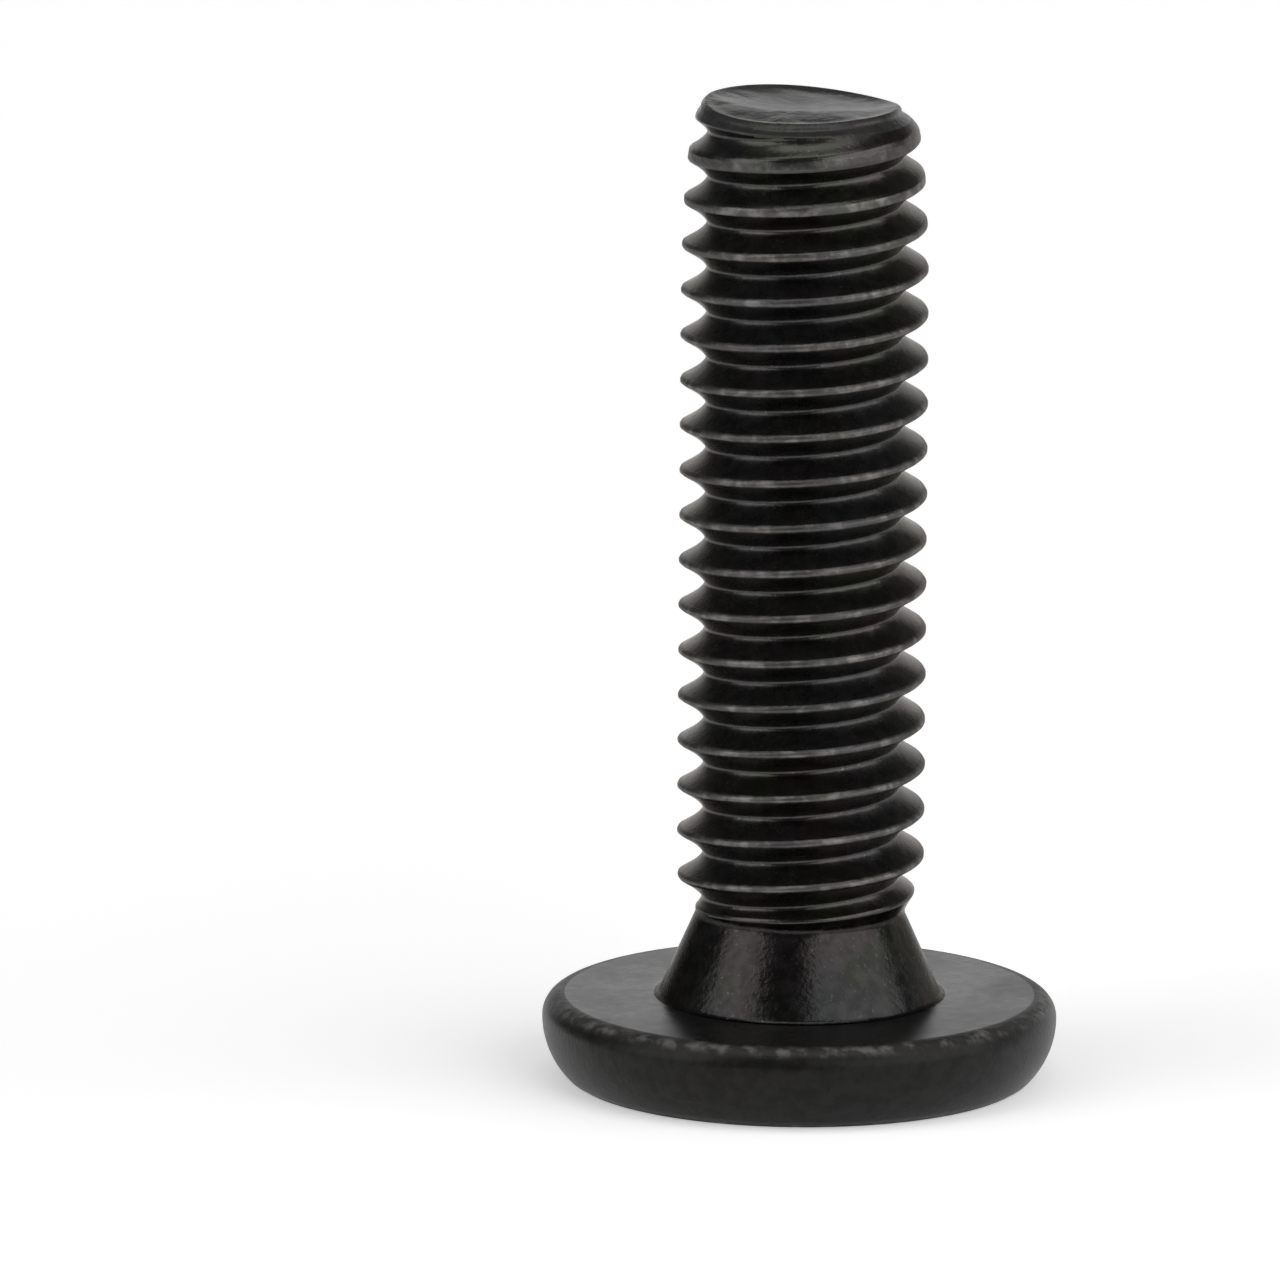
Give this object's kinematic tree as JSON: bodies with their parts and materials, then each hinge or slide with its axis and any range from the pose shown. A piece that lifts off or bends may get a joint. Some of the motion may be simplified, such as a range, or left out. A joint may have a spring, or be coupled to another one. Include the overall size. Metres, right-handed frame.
{
  "type": "ultra low head screw",
  "caption": "Socket screw with a very thin wide head, a short cone neck, a right-hand thread to the flat tip and a hexagon socket, standing on its head.",
  "frame": {"origin": "centre of the head's outer flat face, on which the screw stands", "axes": "+Z along the screw's axis from the head to the tip; the hexagon socket has two corners on the X axis; the first thread crest is 0.345 mm below the tip on the +X side"},
  "size_m": [0.0078, 0.0078, 0.0152],
  "materials": {
    "black_oxide_steel": "black oxide on alloy steel, satin, a little shinier on the thread"
  },
  "bodies": {
    "root": {"screw": "black_oxide_steel"}
  },
  "joints": []
}
